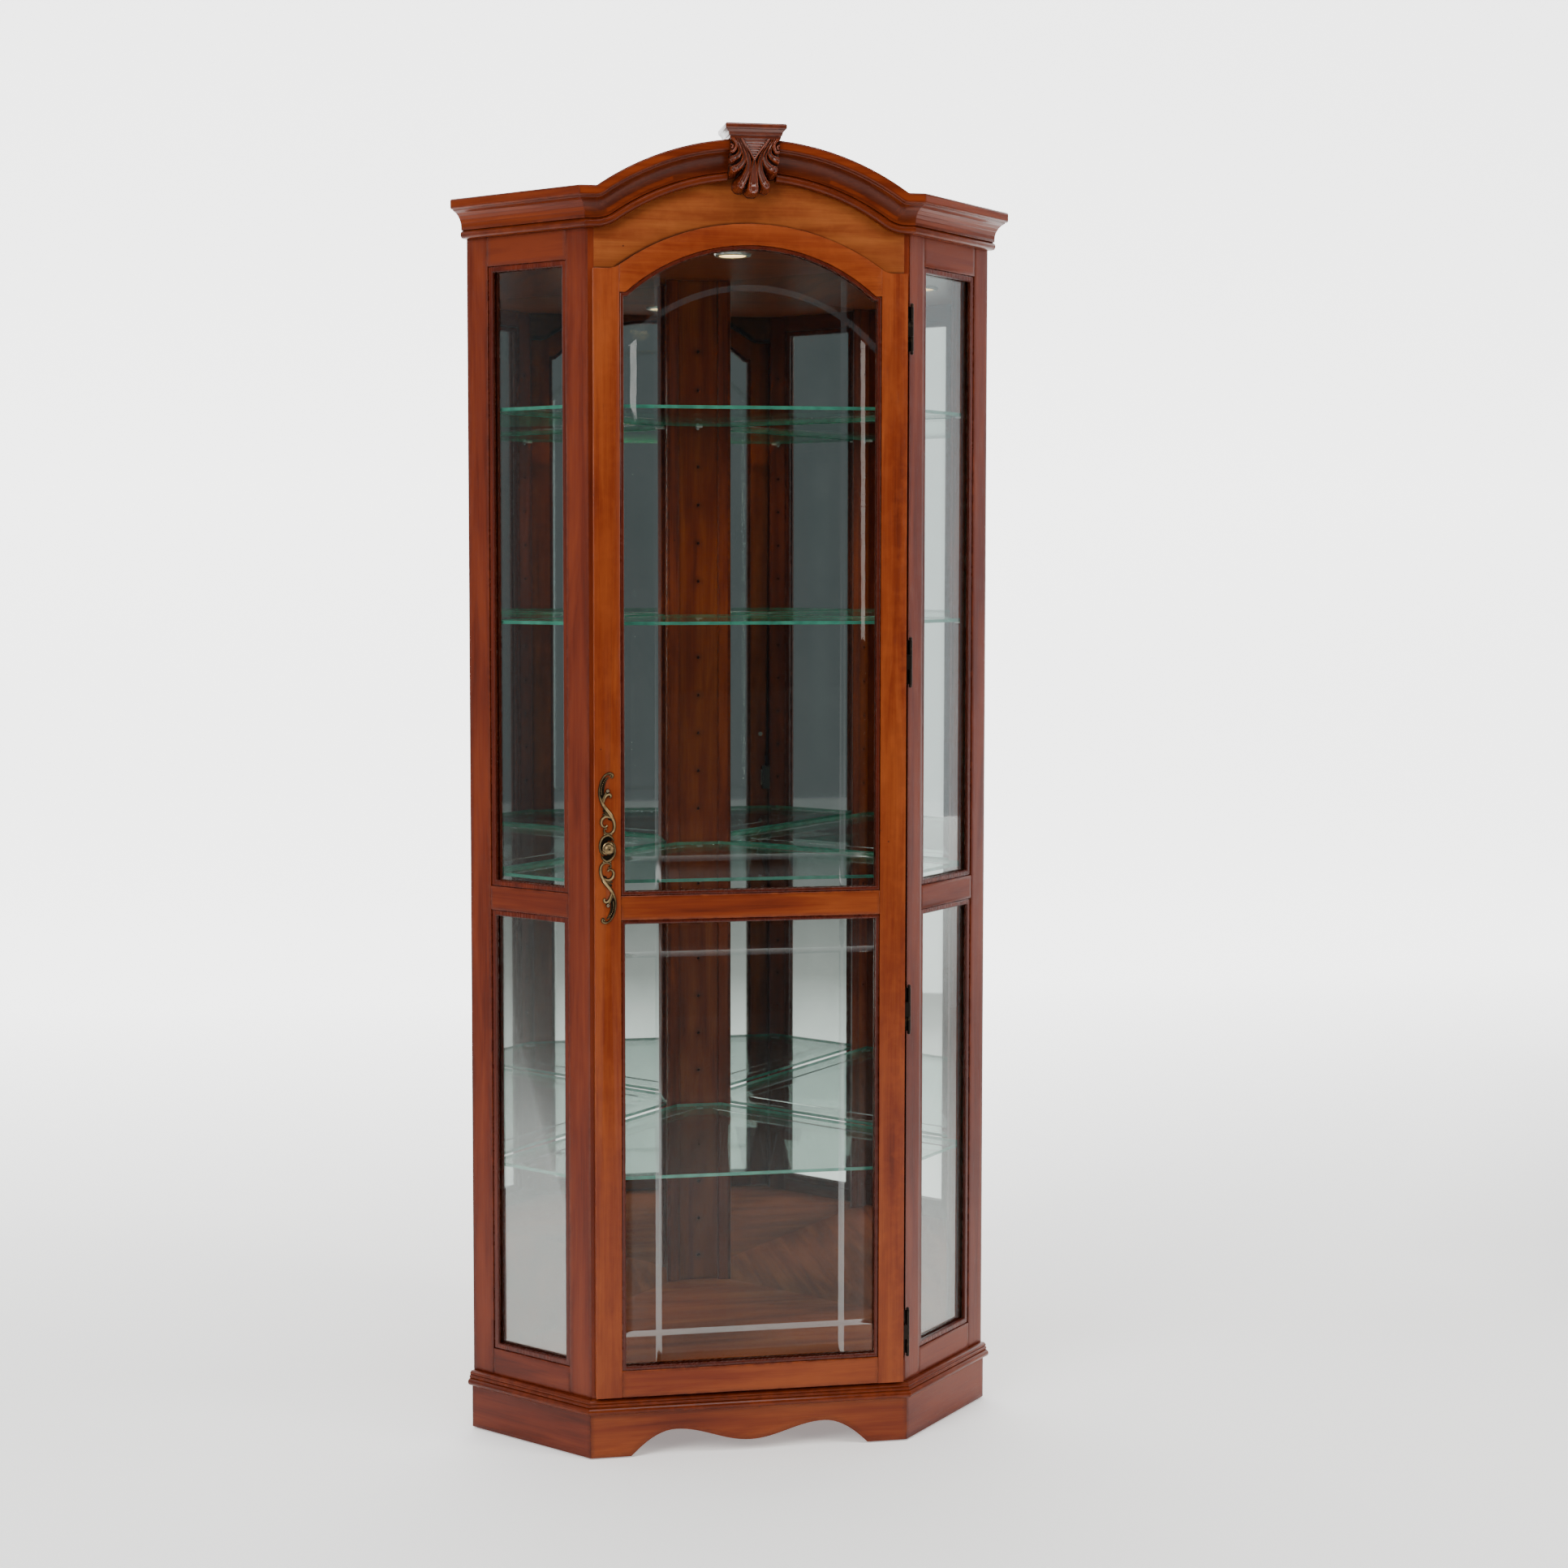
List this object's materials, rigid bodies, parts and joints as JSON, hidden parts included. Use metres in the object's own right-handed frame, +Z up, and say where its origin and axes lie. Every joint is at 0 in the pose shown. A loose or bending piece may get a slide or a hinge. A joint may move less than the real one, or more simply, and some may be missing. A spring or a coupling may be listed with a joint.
{
  "type": "curio cabinet",
  "caption": "Corner curio cabinet: arched glass door on side hinges, angled glass sides, mirrored back, lift-off glass shelves, ceiling lamp, carved shell crown and scalloped plinth.",
  "frame": {"origin": "middle of the outline, on the floor", "axes": "+Z up, -Y the door side, +X to the right seen from the front"},
  "size_m": [0.8604, 0.6186, 1.969],
  "materials": {
    "antique_brass": "antique brass with worn high points",
    "carved_cherry": "carved cherry with dark glaze in the recesses",
    "cherry": "semi-gloss lacquered cherry",
    "clear_glass": "clear pane glass with cut grooves",
    "clear_plastic": "clear moulded plastic",
    "dark_cherry": "darker glazed cherry mouldings",
    "dark_plastic": "moulded",
    "hinge_bronze": "dark bronze",
    "lamp_bulb": "warm white",
    "lamp_glass": "frosted",
    "lamp_metal": "satin",
    "mirror": "silvered",
    "plated_steel": "plated",
    "raw_board": "unfinished board",
    "shelf_glass": "clear glass with ground green edges"
  },
  "bodies": {
    "cabinet": {"plinth_front": "cherry", "plinth_sides": "cherry", "plinth_backs": "cherry", "corner_blocks": "raw_board", "floor_glides": "plated_steel", "base_moulding_front": "cherry", "base_moulding_sides": "cherry", "bottom_deck": "cherry", "left_front_post": "cherry", "right_front_post": "cherry", "left_back_stile": "cherry", "right_back_stile": "cherry", "left_side_rails": "cherry", "right_side_rails": "cherry", "left_side_glass": "clear_glass", "right_side_glass": "clear_glass", "left_glazing_beads": "dark_cherry", "right_glazing_beads": "dark_cherry", "left_mirror": "mirror", "right_mirror": "mirror", "back_boards": "raw_board", "back_corner_posts": "cherry", "centre_back_post": "cherry", "mirror_strips": "cherry", "top_panel": "cherry", "frieze_board": "cherry", "cornice_front_left": "cherry", "cornice_front_right": "cherry", "cornice_sides": "cherry", "keystone_cap": "carved_cherry", "shell_carving": "carved_cherry", "light_housing": "lamp_metal", "light_trim_ring": "lamp_metal", "light_lens": "lamp_glass", "lamp_bulb": "lamp_bulb", "cord_grommet": "dark_plastic", "shelf_clips": "clear_plastic", "magnetic_catch": "dark_plastic", "hinge_frame_leaves": "hinge_bronze", "hinge_pins": "hinge_bronze", "hinge_frame_screws": "hinge_bronze"},
    "door": {"door_left_stile": "cherry", "door_right_stile": "cherry", "door_top_rail": "cherry", "door_mid_rail": "cherry", "door_bottom_rail": "cherry", "door_upper_glass": "clear_glass", "door_lower_glass": "clear_glass", "door_glazing_beads": "dark_cherry", "door_glass_retainers": "dark_cherry", "pull_backplate": "antique_brass", "pull_knob": "antique_brass", "pull_screws": "plated_steel", "strike_plate": "plated_steel", "hinge_door_leaves": "hinge_bronze", "hinge_door_screws": "hinge_bronze"},
    "glass_shelf_1": {"shelf_1": "shelf_glass"},
    "glass_shelf_2": {"shelf_2": "shelf_glass"},
    "glass_shelf_3": {"shelf_3": "shelf_glass"},
    "glass_shelf_4": {"shelf_4": "shelf_glass"}
  },
  "joints": [
    {"name": "door_hinge", "type": "hinge", "parent": "cabinet", "child": "door", "pos_m": [0.2425, -0.26426, 0.9], "axis": [0, 0, 1], "range_deg": [0, 120]},
    {"name": "shelf_1_lift", "type": "slide", "parent": "cabinet", "child": "glass_shelf_1", "axis": [0, 0, 1], "range_m": [0, 0.03]},
    {"name": "shelf_2_lift", "type": "slide", "parent": "cabinet", "child": "glass_shelf_2", "axis": [0, 0, 1], "range_m": [0, 0.03]},
    {"name": "shelf_3_lift", "type": "slide", "parent": "cabinet", "child": "glass_shelf_3", "axis": [0, 0, 1], "range_m": [0, 0.03]},
    {"name": "shelf_4_lift", "type": "slide", "parent": "cabinet", "child": "glass_shelf_4", "axis": [0, 0, 1], "range_m": [0, 0.03]}
  ]
}
